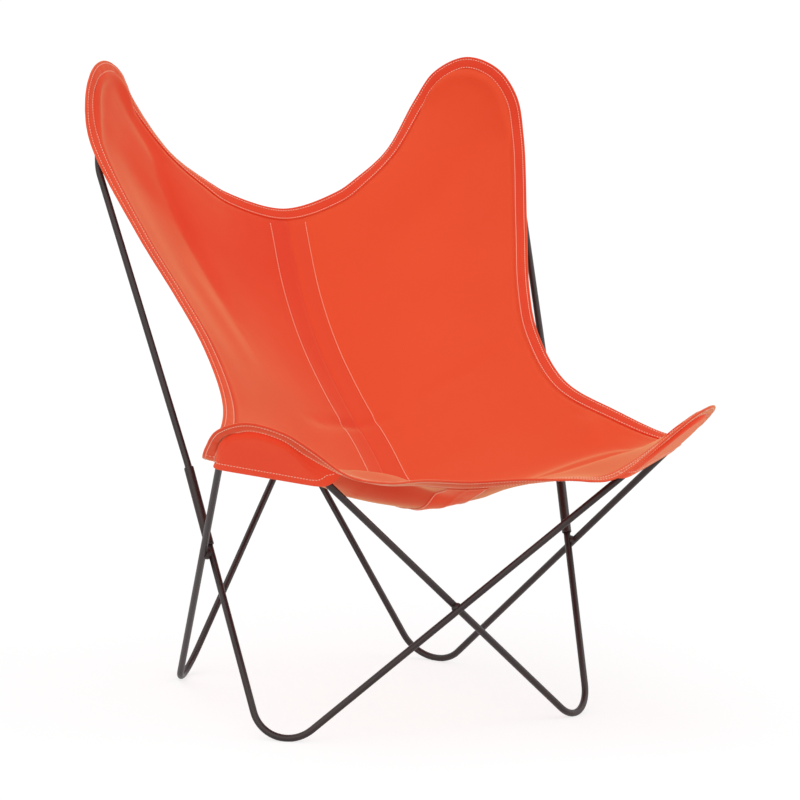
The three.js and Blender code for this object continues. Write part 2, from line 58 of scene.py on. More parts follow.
# The sling's outline, as in the solids: middles of the edges, then the arcs round the rod peaks with their
# centres, the ways out of the chair and across, the bend's radius and half its turn
top_middle = np.array([0, 346.9, 692]) * MM
front_middle = np.array([0, -317.1, 371]) * MM
back_peaks = {1: (292.7, 325.6, 837.1), -1: (-292.7, 315.2, 837.1)}
front_peaks = {1: (313.3, -318.5, 414.4), -1: (-313.3, -307.7, 414.3)}
back_outward = (0.1010, 0.2013, 0.9743)
back_across = (0.7077, -0.7028, 0.0718)
front_outward = (0.5185, -0.5002, 0.6935)
front_across = (0.7084, 0.7055, -0.0207)
back_radius = 60 * MM
front_radius = 56 * MM
back_sweep = 1.2677
front_sweep = 1.1828
rod_radius = 5 * MM
hem_snug = 4.5 * MM
hem_width = 17 * MM
hem_tuck = 17.5 * MM
hem_lift = 1 * MM
lobe_angles = np.radians([-73, -37, 0, 37, 73])
# Roughly the way from the sling to the sitter
sitter = np.array([0, -1, 1])

# Free stretches of the edge, as shares of the chord between their ends
top_shares = ((0.371, 0.14, 0.108), (0.532, 0.262, 0.27), (0.772, 0.524, 0.59))
side_shares = (
    (0.039, 0, 0.061), (0.216, 0.062, 0.137), (0.349, 0.111, 0.175), (0.465, 0.14, 0.189),
    (0.627, 0.141, 0.179), (0.778, 0.095, 0.128), (0.929, 0.013, 0.075),
)
front_shares = ((0.801, 0.391, 1.049), (0.565, 0.058, 0.873), (0.304, 0.046, 0.359))
seam_shares = (
    (0.05, 0.059), (0.116, 0.125), (0.224, 0.187), (0.36, 0.2235), (0.5105, 0.2426),
    (0.646, 0.245), (0.7515, 0.2195), (0.849, 0.16), (0.932, 0.081),
)
# How far the hung sling has slipped from the even outline: across and up in millimetres, for each point of
# the edge from the top's middle to the front's, on each side
slips = {
    1: (
        (0, 0.7), (-1, 1.2), (0, 0), (1, -0.5), (2, 0), (2, 4), (1.5, 2), (4, 1), (6, 0.5), (4.5, 0),
        (4, 0), (4, 1.5), (2.5, 2), (1, 1.5), (0, 0), (1, -3), (1, -3), (0, -2), (0, 0), (0, -1),
        (-33, -18), (-32, 2.5), (-20, 1.5),
    ),
    -1: (
        (0, 0), (0, 0.8), (0, 0), (-1, 0), (-1.5, -1), (-1, -3), (-1, -1), (-5, 0), (-5, -1), (-2.5, -1),
        (0, 0), (0, 0), (0, 0), (3.5, -1), (3.5, -1.5), (2.5, -1.5), (2, -3), (0, 0), (0, -1), (0, 2),
        (0, 2), (0, 9), (0, 6),
    ),
}
# How much each point of the top edge leans its hem towards the lobe instead of the seam
top_leans = (0, 0.3, 0.7)
# The same for the front edge on each side, from the lobe to the middle
near_leans = {1: (0.8, 0.55, 0.1), -1: (0.2, 0.45, 0.15)}
# How far the seam has slipped sideways, from the top edge to the front edge, in millimetres
seam_slips = (0, -3, -4, -3, -1, -8, -8, -4, -2, 0)

# How blunt the valley along the seam is at the top and at the front, and how fast the shapes of the top
# and the front edge fade into the cloth
valley_back = 0.3
valley_front = 0.01
fade_back = 1
fade_front = 10
# How far across and down the shape of the lobes softens into the cloth, as shares
gap_blur = 0.14
gap_crisp = 0.1
blur_steps = 200

# Relief of the cloth: groove of the seam, gutter and roll inside the hem, then folds, each as its rise and
# width in millimetres and the spots it runs through, as shares across (-1 left flank, 1 right) and down
seam_groove = -1.3 * MM
seam_width = 2 * MM
seam_fade = 6 * MM
gutter_depth = -1.9 * MM
gutter_place = 2.8 * MM
gutter_width = 2.2 * MM
roll_height = 0.7 * MM
roll_place = 9 * MM
roll_width = 5 * MM
folds = (
    (4, 26, ((-0.58, 0.27), (-0.56, 0.34), (-0.56, 0.42), (-0.6, 0.5))),
    (-5, 9, ((-0.319, 0.553), (-0.2, 0.53), (-0.083, 0.507), (0.16, 0.516))),
    (15, 50, ((0.2, 0.875), (0.27, 0.885), (0.38, 0.892), (0.5, 0.892), (0.62, 0.897), (0.78, 0.902))),
    (6, 10, (
        (0.4, 0.848), (0.46, 0.846), (0.523, 0.846), (0.59, 0.847), (0.709, 0.853), (0.788, 0.863),
        (0.83, 0.88),
    )),
    (4, 16, ((0.96, 0.74), (0.881, 0.775), (0.78, 0.805))),
    (-2.5, 16, ((0.3, 0.52), (0.452, 0.516), (0.639, 0.53), (0.84, 0.537))),
    (17, 30, ((-0.6, 0.95), (-0.45, 0.95), (-0.3, 0.945), (-0.15, 0.94))),
    (9, 24, ((-0.45, 0.95), (-0.3, 0.945), (-0.15, 0.94), (0.05, 0.95))),
    (8, 40, ((-0.65, 0.87), (-0.5, 0.87), (-0.35, 0.87))),
    (7, 34, ((-0.12, 0.845), (-0.02, 0.845), (0.06, 0.86), (0.16, 0.87))),
)
# Sharp creases: rise, width on the left and on the right of the line seen from the sitter, and the spots
creases = (
    (-12, 32, 12, (
        (-0.95, 0.02), (-0.79, 0.016), (-0.615, 0.022), (-0.545, 0.07), (-0.505, 0.11), (-0.473, 0.149),
        (-0.445, 0.193), (-0.431, 0.252), (-0.43, 0.32),
    )),
)
# How blunt a crease's ridge is in millimetres, and how near the hem folds and creases fade out
crease_soft = 3
fold_room = 22 * MM
# A fold's line: marks on its curve, their spacing, and the shares of it past which it grows no flatter
fold_marks = 60
fold_step = 4 * MM
fold_ends = (0.02, 0.98)

# Rods: corners of the right and the left one of each kind, and the bends at their inner corners
base_corners = {
    "right": (
        (292.8, -37.8, 293.8), (258.5, -211.7, -32.8), (-390, -381.7, 517), (-210, 238.1, -35.1),
        (33.5, 306.5, 406.7),
    ),
    "left": (
        (-294.2, -41.6, 306.8), (-258.5, -222.5, -32.8), (390, -392.5, 517), (210, 227.7, -35.1),
        (-34.4, 296.3, 408.3),
    ),
}
bow_corners = {
    "right": (
        (292.8, -37.8, 293.8), (298.7, -7.8, 350), (347, 247.1, 764), (313, 366.1, 1033), (226, 371.1, 764),
        (64.1, 315.1, 462.3), (33.5, 306.5, 406.7),
    ),
    "left": (
        (-294.2, -41.6, 306.8), (-300.1, -11.6, 363), (-347, 236.7, 764), (-313, 355.7, 1033),
        (-226, 360.7, 764), (-65, 304.9, 463.8), (-34.4, 296.3, 408.3),
    ),
}
base_bends = (52, 56, 57)
bow_bends = (60, 90, 60, 90, 60)
rod_gap = 0.5 * MM
rod_sides = 28
arc_steps = 20
rod_mark_step = 3 * MM

# The cloth over a rod: how high its middle stands over the rod's, first wished and then at least, how
# steeply it falls away on both sides, how far a rod reaches and how gently its lift sets in
cloth_clear = 6.7 * MM
cloth_rest = 6 * MM
tent_slope = math.radians(36)
tent_reach = 20 * MM
tent_soft = 0.4 * MM
# The hem's own height and slope, how near it the cloth takes that height, how near it the cloth's lifts
# stay as they are, and how often they are eased elsewhere
hem_clear = 7.4 * MM
hem_slope = math.radians(70)
hem_near = 6 * MM
hem_hold = 9 * MM
ease_rounds = 4

# Cloth, hem and strip, and how finely they are made
cloth_thickness = 1.5 * MM
columns_per_span = 4
rows_per_span = 9
column_step = 0.5
hem_steps = 12
hem_profile = np.array([
    # in from the edge, height
    (0, 0), (0.15, 0.9), (0.8, 1.55), (2.2, 1.85), (3.6, 1.65), (4.4, 1.2), (5.2, 1.65), (8.5, 2.05),
    (13.2, 1.9), (16.1, 1.6), (17.1, 1.15), (18.0, 1.6), (18.8, 1.5), (19.2, 0.7),
]) * MM
# Puckers of the hem: their share of its height, and each wave's length in metres and its share
pucker_seed = 7
pucker_share = 0.16
pucker_waves = ((0.021, 0.5), (0.034, 0.3), (0.013, 0.2))
strip_half = 32 * MM
strip_thickness = 0.9 * MM
strip_drop = cloth_thickness / 2 + 0.5 * MM
strip_columns = 17
# Marks that measure lengths and places along lines, and the step between the edge's marks
strip_samples = 400
edge_samples = 600
line_samples = 1200
edge_mark_step = 0.02

# Pockets: the stretch of edge each one spans, where they leave the hem, and their mouths
pocket_thickness = 1.2 * MM
back_pocket = (3, 9)
front_pocket = (15, 21)
pocket_columns_per_span = 6
pocket_tuck = 18.6 * MM
pocket_lift = 0.9 * MM
pocket_drop = 7 * MM
# Round the rod: out from it and behind it, in millimetres
pocket_wrap = ((6.7, 1.7), (5.6, 4), (3, 6), (0, 6.8))
# At a pocket's ends, which don't go round the rod: the share of the way to the mouth for each wrap step
pocket_pull = 0.08
# Shares of the way from the rod to the mouth
pocket_shares = (0.12, 0.3, 0.5, 0.7, 0.84, 0.92, 1.0)
# The mouth's corners, in spans from the pocket's ends, how far past the ends its sides point, and how
# often it is eased
mouth_corner = 1
mouth_past = 0.5
mouth_rounds = 8
# How much deeper a pocket's mouth hangs at its two ends, in millimetres
mouth_drops = {("front", -1): (-5, 16)}
# The mouth's own hem, and the most of a short column that it takes up
mouth_hem_width = 17 * MM
mouth_hem_share = 0.8

# Stitches: the hem's two rows, the rows across it where lengths of hem tape meet, and the strip's two rows
stitch_pitch = 4.2 * MM
stitch_length = 3.3 * MM
stitch_radius = 0.7 * MM
stitch_sides = 5
stitch_rings = np.array([
    # along, height, girth
    (-0.5, -0.9, 0.35), (-0.36, 0.25, 0.85), (0.0, 0.75, 1.0), (0.36, 0.25, 0.85), (0.5, -0.9, 0.35),
])
hem_row_places = (4.4 * MM, 17.1 * MM)
hem_row_height = 1.3 * MM
hem_joins = (15.55, 20.85)
join_marks = np.linspace(3, 18, 8) * MM
strip_stitch = 30 * MM
seam_row_heights = {1: cloth_thickness / 2 - 0.1 * MM, -1: strip_drop + 0.5 * MM}
# Rows of the cloth at each end of the seam that the hem hides
hidden_rows = 3

# Colours and relief of the canvas; tones run from dark to light
thread_width = 0.9 * MM
tone_places = (0.3, 0.5, 0.72)
tones = ((0.74, 0.044, 0.014), (0.78, 0.056, 0.018), (0.8, 0.07, 0.024))
# Painted light: the pockets and the strip get lighter tones than the sling, for light that their undersides
# don't get
under_painted_light_tones = ((0.88, 0.05, 0.014), (0.92, 0.062, 0.018), (0.94, 0.076, 0.022))
# Painted shade: the sling is darker and redder over the strip, where the double layer keeps out light
# shining through
strip_shade_tint = (0.74, 0.045, 0.022)
right_tint = (0.82, 0.08, 0.021)
# Painted highlight: a paler, lighter orange along the hem's folded edge and along one edge of the pockets
# and the strip
edge_highlight_tint = (0.86, 0.16, 0.07)
sheen_tint = (1.0, 0.7, 0.35)
patch_share = 0.8
slub_share = 0.2
weave_relief = 0.5
slub_relief = 0.6
gather_stretch = (45, 260, 1)
# How fast a tint sets in across its edge, in shares per metre
panel_edge = 500.0
band_edge = 700.0
# Thread and paint, dark and light
thread_tones = ((0.95, 0.42, 0.28), (1.0, 0.56, 0.4))
paint_tones = ((0.021, 0.0105, 0.01), (0.031, 0.0165, 0.0155))
paint_rough = (0.34, 0.16)
crisp_angle = math.radians(40)

# Light and floor: the floor throws light back as pale paper does, and is seen white with a soft shadow
sky_level = 0.48
floor_size = 200
paper_share = 0.9
shadow_share = 0.34
floor_glow = 0.73
suns = {
    # azimuth, elevation, level and softness
    "key": (60, 30, 0.8, 50),
    "high": (-110, 60, 0.6, 60),
    "front": (-30, 35, 0.6, 60),
    "low": (-60, 8, 0.45, 50),
}

# Camera, fitted to the photograph
camera_place = (-2.2904, -4.8352, 1.1784)
camera_azimuth = 25.63
camera_elevation = -7.82
camera_roll = 1.43
camera_lens = 166.5
camera_sensor = 36
camera_shift = (0.0071, -0.0005)
camera_reach = 100


def unit(v):
    v = np.asarray(v, float)
    return v / np.linalg.norm(v, axis=-1, keepdims=True)


def across_part(v, way):
    """What is left of vectors without their part along a direction."""
    return v - way * np.sum(v * way, axis=-1, keepdims=True)


def mirrored(v, side):
    """The vector for a side of the chair, 1 right and -1 left."""
    return np.array([v[0] * side, v[1], v[2]], float)


# Curves
class Spline:
    """A centripetal Catmull-Rom curve through points, at places counted in points."""

    def __init__(self, points, closed):
        points = np.asarray(points, float)
        self.count = len(points)
        self.closed = closed
        if closed:
            self.points = points
        else:
            first = 2 * points[0] - points[1]
            last = 2 * points[-1] - points[-2]
            self.points = np.vstack([first, points, last])

    def at(self, places):
        places = np.atleast_1d(np.asarray(places, float))
        if self.closed:
            places = places % self.count
            whole = np.floor(places).astype(int)
            ids = [(whole + k) % self.count for k in (-1, 0, 1, 2)]
        else:
            whole = np.clip(np.floor(places).astype(int), 0, self.count - 2)
            ids = [whole + k for k in (0, 1, 2, 3)]
        share = (places - whole)[:, None]
        p0, p1, p2, p3 = (self.points[i] for i in ids)
        d0, d1, d2 = (
            np.sqrt(np.linalg.norm(b - a, axis=1))[:, None] for a, b in ((p0, p1), (p1, p2), (p2, p3))
        )
        t1 = ((p1 - p0) / d0 - (p2 - p0) / (d0 + d1) + (p2 - p1) / d1) * d1
        t2 = ((p2 - p1) / d1 - (p3 - p1) / (d1 + d2) + (p3 - p2) / d2) * d1
        c2 = -3 * p1 + 3 * p2 - 2 * t1 - t2
        c3 = 2 * p1 - 2 * p2 + t1 + t2
        return p1 + t1 * share + c2 * share**2 + c3 * share**3


def lengths(points):
    """Distances along a line of points."""
    steps = np.linalg.norm(np.diff(points, axis=0), axis=1)
    return np.concatenate([[0], np.cumsum(steps)])


def between(at, places, points):
    """Points between those that have these places."""
    return np.stack([np.interp(at, places, points[:, k]) for k in range(3)], axis=1)


def resample(points, distances):
    """The points at these distances along a line."""
    return between(distances, lengths(points), points)


# Outline of the sling
slant = top_middle[1] - front_middle[1]
hang = [top_middle + (front_middle - top_middle) * along - [0, 0, sag * slant] for along, sag in seam_shares]


class Peak:
    """A rod peak that carries a lobe of the sling."""

    def __init__(self, centre, outward, across, radius, sweep, side):
        self.centre = np.array(centre) * MM
        self.outward = mirrored(outward, side)
        self.across = mirrored(across, side)
        self.radius = radius
        self.sweep = sweep
        normal = unit(np.cross(self.across, self.outward))
        self.sitter = normal if normal @ sitter > 0 else -normal

    def spot(self, reach, angle):
        return self.centre + reach * (self.outward * math.cos(angle) + self.across * math.sin(angle))

    def lobe(self):
        """Points of the edge round the peak, each with its pole, the spot that its hem leans to."""
        reach = self.radius + rod_radius + hem_snug + hem_width
        pole = self.centre + self.sitter * hem_lift * reach / hem_width
        return [(self.spot(reach, angle), pole) for angle in lobe_angles]

    def leg(self, way):
        """Where a leg of the peak starts, and its direction."""
        angle = way * self.sweep
        along = -way * (self.outward * math.sin(angle) - self.across * math.cos(angle))
        return self.spot(self.radius, angle), along


def make_peak(place, side):
    if place == "back":
        return Peak(back_peaks[side], back_outward, back_across, back_radius, back_sweep, side)
    return Peak(front_peaks[side], front_outward, front_across, front_radius, front_sweep, side)


peaks = {(place, side): make_peak(place, side) for place in ("back", "front") for side in (1, -1)}


def edge_from(middle, end, shares, pole):
    """Points from the middle of an edge to its end, with their poles."""
    return [
        (np.array([end[0] * across, *(middle[1:] + (end[1:] - middle[1:]) * [back, rise])]), pole)
        for across, rise, back in shares
    ]


def side_edge(start, end, side):
    """Points down a flank, with their poles."""
    chord = np.linalg.norm(end - start)
    return [
        (
            start + (end - start) * along - np.array([side * inward * chord, 0, down * chord]),
            hang[int(along * (len(hang) - 1) + 0.5)],
        )
        for along, inward, down in side_shares
    ]


def half_outline(side):
    """One side of the outline, from the top's middle to the front's."""
    back = peaks["back", side].lobe()
    front = peaks["front", side].lobe()[::-1]
    top = edge_from(top_middle, back[0][0], top_shares, hang[1])
    top = [(point, pole + (back[0][1] - pole) * lean) for (point, pole), lean in zip(top, top_leans)]
    near = edge_from(front_middle, front[-1][0], front_shares, hang[-2])
    near = [
        (point, pole + (front[-1][1] - pole) * lean) for (point, pole), lean in zip(near, near_leans[side])
    ]
    even = top + back + side_edge(back[-1][0], front[0][0], side) + front + near
    return [
        (point + np.array([across, 0, up]) * MM, pole)
        for (point, pole), (across, up) in zip(even, slips[side])
    ]


outline = [(top_middle, hang[0])] + half_outline(1) + [(front_middle, hang[-1])] + half_outline(-1)[::-1]
ring = len(outline)
half_ring = ring // 2
back_apex = len(top_shares) + 1 + len(lobe_angles) // 2
front_apex = half_ring - back_apex
outer_edge = Spline([point for point, _ in outline], closed=True)


def inner_points():
    """The outline's points, moved in to where the hem grips the cloth."""
    nudge = 0.001
    for i, (point, pole) in enumerate(outline):
        along = unit(outer_edge.at(i + nudge)[0] - outer_edge.at(i - nudge)[0])
        inward = pole - point
        inward = unit(inward - along * (inward @ along))
        yield point + inward * hem_tuck


inner_edge = Spline(list(inner_points()), closed=True)


def edge_at(curve, side, places):
    places = np.asarray(places, float)
    return curve.at(places if side > 0 else ring - places)


# Cloth surface
def strip_place(side, start, end):
    """Where an edge crosses the strip's border."""
    places = np.linspace(start, end, strip_samples)
    reach = np.abs(edge_at(inner_edge, side, places)[:, 0])
    return float(np.interp(strip_half, reach, places))


def column_places(side):
    """Places of the cloth's columns on the top edge and on the front edge."""
    steps = np.arange(1, back_apex + column_step / 2, column_step)
    top_strip = strip_place(side, 0, 1)
    front_strip = strip_place(side, half_ring, half_ring - 1)
    top = np.concatenate([[0, top_strip / 2, top_strip], steps])
    front = np.concatenate([[half_ring, (half_ring + front_strip) / 2, front_strip], half_ring - steps])
    return top, front


seam_ends = inner_edge.at([0, half_ring])
seam_curve = Spline(
    [
        point + np.array([slip, 0, 0]) * MM
        for point, slip in zip([seam_ends[0], *hang[1:], seam_ends[1]], seam_slips)
    ],
    closed=False,
)
seam_line = seam_curve.at(np.linspace(0, seam_curve.count - 1, line_samples))


def valley(across, down):
    """How far across a ruled line goes, slowly near the seam."""
    soft = valley_back + (valley_front - valley_back) * down
    return (np.hypot(across, soft) - soft) / (np.hypot(1, soft) - soft)


def ruled(seam, flank, out):
    return seam * (1 - out[..., None]) + flank * out[..., None]


def softened(shares, gap):
    """The gap over the shares, blurred but still nothing at both ends."""
    even = np.linspace(0, 1, blur_steps + 1)
    reach = np.arange(-blur_steps, blur_steps + 1) / blur_steps
    kernel = np.exp(-((reach / gap_blur) ** 2))
    kernel /= kernel.sum()
    blurred = []
    for values in gap.T:
        fine = np.interp(even, shares, values)
        wide = np.concatenate([-fine[:0:-1], fine, -fine[-2::-1]])
        smooth = np.convolve(wide, kernel, mode="same")[blur_steps:2 * blur_steps + 1]
        blurred.append(np.interp(shares, even, smooth))
    return np.stack(blurred, axis=1)


def half_cloth(side, columns, rows):
    """The points of one half of the cloth on a grid of rows, down the side, by columns, from the seam, and
    how far each column lies across and each row down, as shares."""
    top_places, front_places = column_places(side)
    spots = np.arange(len(top_places))

    def edge_points(places, at):
        return edge_at(inner_edge, side, np.interp(at, spots, places))

    def across(places):
        run = lengths(edge_points(places, fine))
        return np.interp(columns, fine, run / run[-1])

    fine = np.linspace(0, len(spots) - 1, edge_samples)
    shares = (across(top_places) + across(front_places)) / 2
    fine_rows = np.linspace(back_apex, front_apex, line_samples)
    run = lengths(edge_at(inner_edge, side, fine_rows))
    down = np.interp(rows, fine_rows, run / run[-1])
    seam = resample(seam_line, down * lengths(seam_line)[-1])
    flank = edge_at(inner_edge, side, rows)
    points = ruled(seam[:, None], flank[:, None], valley(shares[None, :], down[:, None]))
    top_flank, front_flank = edge_at(inner_edge, side, [back_apex, front_apex])
    top_gap = edge_points(top_places, columns) - ruled(seam_ends[0], top_flank, valley(shares, 0.0))
    front_gap = edge_points(front_places, columns) - ruled(seam_ends[1], front_flank, valley(shares, 1.0))
    soft_gap = softened(shares, top_gap)
    crisp = np.exp(-down / gap_crisp)[:, None, None]
    points += (soft_gap + (top_gap - soft_gap) * crisp) * (1 - down)[:, None, None] ** fade_back
    points += front_gap[None] * down[:, None, None] ** fade_front
    return points, shares, down


def grid_normals(points):
    """Normals of a grid of points, towards the sitter."""
    along = np.gradient(points, axis=0)
    across = np.gradient(points, axis=1)
    normals = unit(np.cross(along, across))
    return normals if (normals.sum((0, 1)) @ sitter) > 0 else -normals


# Rods
def rod_line(corners, bends):
    """The middle line of a rod through its corners, with an arc of the given radius at each inner one."""
    corners = np.array(corners, float) * MM
    line = [corners[0] + unit(corners[1] - corners[0]) * rod_gap]
    for before, corner, after, bend in zip(corners, corners[1:], corners[2:], bends):
        back, on = unit(before - corner), unit(after - corner)
        half = math.acos(back @ on) / 2
        reach = bend * MM / math.tan(half)
        centre = corner + unit(back + on) * bend * MM / math.sin(half)
        start = corner + back * reach - centre
        end = corner + on * reach - centre
        side = np.cross(unit(np.cross(start, end)), start)
        angles = np.linspace(0, math.pi - 2 * half, arc_steps + 1)
        line += [centre + start * math.cos(a) + side * math.sin(a) for a in angles]
    line.append(corners[-1] + unit(corners[-2] - corners[-1]) * rod_gap)
    return np.array(line)


rod_lines = {}
for hand in ("left", "right"):
    rod_lines[f"base_rod_{hand}"] = rod_line(base_corners[hand], base_bends)
    rod_lines[f"upright_bow_{hand}"] = rod_line(bow_corners[hand], bow_bends)


def even_steps(line, step):
    """The line in equal steps of about this length."""
    run = lengths(line)
    return resample(line, np.linspace(0, run[-1], int(run[-1] / step) + 1))


rod_marks = [even_steps(line, rod_mark_step) for line in rod_lines.values()]
rod_spots = np.concatenate(rod_marks)
rod_ways = np.concatenate([unit(np.gradient(marks, axis=0)) for marks in rod_marks])


def nearest(points, targets):
    """For each point, which target is nearest and how far it is."""
    batch = 2000
    flat = points.reshape(-1, 3)
    found = np.zeros(len(flat), int)
    for start in range(0, len(flat), batch):
        part = flat[start:start + batch]
        gaps = (part**2).sum(1)[:, None] + (targets**2).sum(1)[None] - 2 * part @ targets.T
        found[start:start + batch] = gaps.argmin(1)
    far = np.linalg.norm(flat - targets[found], axis=1)
    return found.reshape(points.shape[:-1]), far.reshape(points.shape[:-1])


def over_rods(points, normals, reach, slope):
    """Moves that lift points off a rod closer below than reach, as a tent with sides of this slope."""
    spots, _ = nearest(points, rod_spots)
    way = rod_ways[spots]
    gap = across_part(points - rod_spots[spots], way)
    up = unit(across_part(normals, way))
    height = np.sum(gap * up, axis=-1)
    aside = np.linalg.norm(gap - up * height[..., None], axis=-1)
    crown = np.sqrt(np.maximum(reach**2 - aside**2, 0))
    foot = reach * np.sin(slope)
    tent = reach * np.cos(slope) - (aside - foot) * np.tan(slope)
    wanted = np.where(aside < foot, crown, tent)
    short = wanted - height
    lift = (short + np.hypot(short, tent_soft)) / 2
    lift[(aside > tent_reach) | (height < -tent_reach)] = 0
    return up * lift[..., None]


def eased(moves):
    """The moves of a grid, each eased towards its neighbours."""
    for axis in (0, 1) * ease_rounds:
        wide = np.pad(moves, [(1, 1) if k == axis else (0, 0) for k in range(3)], mode="edge")
        before, after = (np.take(wide, np.arange(k, k + moves.shape[axis]), axis) for k in (0, 2))
        moves = (before + 2 * moves + after) / 4
    return moves


# Mesh makers
def smooth_mesh(name, points, faces, material):
    mesh = bpy.data.meshes.new(name)
    mesh.from_pydata(points.tolist(), [], faces)
    mesh.update()
    piece = bpy.data.objects.new(name, mesh)
    bpy.context.collection.objects.link(piece)
    mesh.materials.append(material)
    mesh.polygons.foreach_set("use_smooth", [True] * len(mesh.polygons))
    return piece


def grid_mesh(name, points, material, uv, wrap=False):
    """A sheet of quads on a grid of points; wrap joins the last row to the first."""
    height, width = points.shape[:2]
    corner = np.arange(height * width).reshape(height, width)
    if wrap:
        corner = np.vstack([corner, corner[:1]])
    a, b, c, d = corner[:-1, :-1], corner[1:, :-1], corner[1:, 1:], corner[:-1, 1:]
    faces = np.stack([a, b, c, d], axis=-1).reshape(-1, 4)
    piece = smooth_mesh(name, points.reshape(-1, 3), faces.tolist(), material)
    layer = piece.data.uv_layers.new(name="cloth")
    loops = np.array([loop.vertex_index for loop in piece.data.loops])
    layer.data.foreach_set("uv", uv.reshape(-1, 2)[loops].ravel())
    return piece


def runs(points, axis):
    """Distances along a grid of points, down its columns (axis 0) or along its rows (axis 1)."""
    steps = np.linalg.norm(np.diff(points, axis=axis), axis=2)
    start = np.zeros_like(steps.take([0], axis))
    return np.concatenate([start, np.cumsum(steps, axis=axis)], axis=axis)


def cloth_uv(points):
    """Distances along the cloth both ways, in metres, so that a weave has its real size."""
    return np.stack([runs(points, 1), runs(points, 0)], axis=-1)


def solidify(piece, thickness):
    mod = piece.modifiers.new("Thickness", "SOLIDIFY")
    mod.thickness = thickness
    mod.offset = 0


def subdivide(piece, levels):
    mod = piece.modifiers.new("Smooth", "SUBSURF")
    mod.levels = levels
    mod.render_levels = levels


def ring_faces(rings, sides):
    """Faces of a round bar made of rings, with its two ends last."""
    corner = np.arange(rings * sides).reshape(rings, sides)
    a, b = corner[:-1], corner[1:]
    quads = np.stack([a, np.roll(a, -1, 1), np.roll(b, -1, 1), b], axis=-1).reshape(-1, 4)
    return quads.tolist() + [corner[0, ::-1].tolist(), corner[-1].tolist()]


def circle(middle, radius, side, up, turn):
    """Points round a middle at these turns from side to up."""
    return middle + radius * (np.outer(np.cos(turn), side) + np.outer(np.sin(turn), up))


def tube(name, line, radius, sides, material):
    """A round rod along a line, with closed ends and nothing of it below the floor."""
    # A direction that no rod starts along
    aslant = (0.3, 0.2, 1)
    ways = unit(np.vstack([line[1] - line[0], line[2:] - line[:-2], line[-1] - line[-2]]))
    turn = np.linspace(0, 2 * np.pi, sides, endpoint=False)
    side = unit(np.cross(ways[0], aslant))
    rings = []
    for point, way in zip(line, ways):
        side = unit(side - way * (side @ way))
        rings.append(circle(point, radius, side, np.cross(way, side), turn))
    places = np.concatenate(rings)
    places[:, 2] = np.maximum(places[:, 2], 0)
    piece = smooth_mesh(name, places, ring_faces(len(line), sides), material)
    for cap in piece.data.polygons[-2:]:
        cap.use_smooth = False
    return piece


def stitch_mesh(name, rows, material):
    """Thread beads along each row, which is (points, normals)."""
    turn = np.linspace(0, 2 * np.pi, stitch_sides, endpoint=False)
    bead_faces = ring_faces(len(stitch_rings), stitch_sides)
    places, faces = [], []
    base = 0
    for points, normals in rows:
        run = lengths(points)
        count = int(run[-1] / stitch_pitch)
        middles = (np.arange(count) + 0.5) * run[-1] / count
        at = resample(points, middles)
        ahead, behind = (resample(points, middles + way * stitch_length / 3) for way in (1, -1))
        along = unit(ahead - behind)
        up = unit(across_part(between(middles, run, normals), along))
        out = np.cross(along, up)
        for i in range(count):
            for reach, height, girth in stitch_rings:
                middle = at[i] + along[i] * reach * stitch_length + up[i] * height * stitch_radius
                places.append(circle(middle, girth * stitch_radius, out[i], up[i], turn))
            faces += [[corner + base for corner in face] for face in bead_faces]
            base += len(stitch_rings) * stitch_sides
    return smooth_mesh(name, np.concatenate(places), faces, material)


# Materials
def new_material(name):
    material = bpy.data.materials.new(name)
    material.use_nodes = True
    tree = material.node_tree
    shader = tree.nodes["Principled BSDF"]
    return material, tree, shader


def node(tree, kind, **values):
    """A new node with these inputs or settings."""
    made = tree.nodes.new(kind)
    for key, value in values.items():
        if key in made.inputs:
            made.inputs[key].default_value = value
        else:
            setattr(made, key, value)
    return made


def maths(tree, operation, a, b=None):
    """The output of a math node whose inputs are sockets or numbers."""
    made = tree.nodes.new("ShaderNodeMath")
    made.operation = operation
    for socket, value in zip(made.inputs, (a, b)):
        if value is None:
            continue
        if hasattr(value, "is_output"):
            tree.links.new(value, socket)
        else:
            socket.default_value = value
    return made.outputs[0]


def ramp(tree, factor, places, colours):
    made = tree.nodes.new("ShaderNodeValToRGB")
    ends = made.color_ramp.elements
    while len(ends) < len(colours):
        ends.new(0.5)
    for end, place, colour in zip(ends, places, colours):
        end.position = place
        end.color = (*colour, 1)
    tree.links.new(factor, made.inputs["Fac"])
    return made.outputs["Color"]


def noise(tree, place, scale, detail=2.0):
    made = node(tree, "ShaderNodeTexNoise", Scale=scale, Detail=detail)
    tree.links.new(place.outputs["Object"], made.inputs["Vector"])
    return made.outputs["Fac"]


def bump(tree, shader, height, strength, distance):
    made = node(tree, "ShaderNodeBump", Strength=strength, Distance=distance)
    tree.links.new(height, made.inputs["Height"])
    tree.links.new(made.outputs["Normal"], shader.inputs["Normal"])


def tinted(tree, colour, share, tint):
    """The colour turned towards a tint by a share that varies over the surface."""
    made = tree.nodes.new("ShaderNodeMix")
    made.data_type = "RGBA"
    tree.links.new(share, made.inputs["Factor"])
    tree.links.new(colour, made.inputs["A"])
    made.inputs["B"].default_value = (*tint, 1)
    return made.outputs["Result"]


def inside(tree, distance, edge, share):
    """Nothing outside a tint's edge, rising to its share as the distance inside it grows."""
    rising = maths(tree, "MULTIPLY", distance, edge)
    return maths(tree, "MINIMUM", maths(tree, "MAXIMUM", rising, 0.0), share)


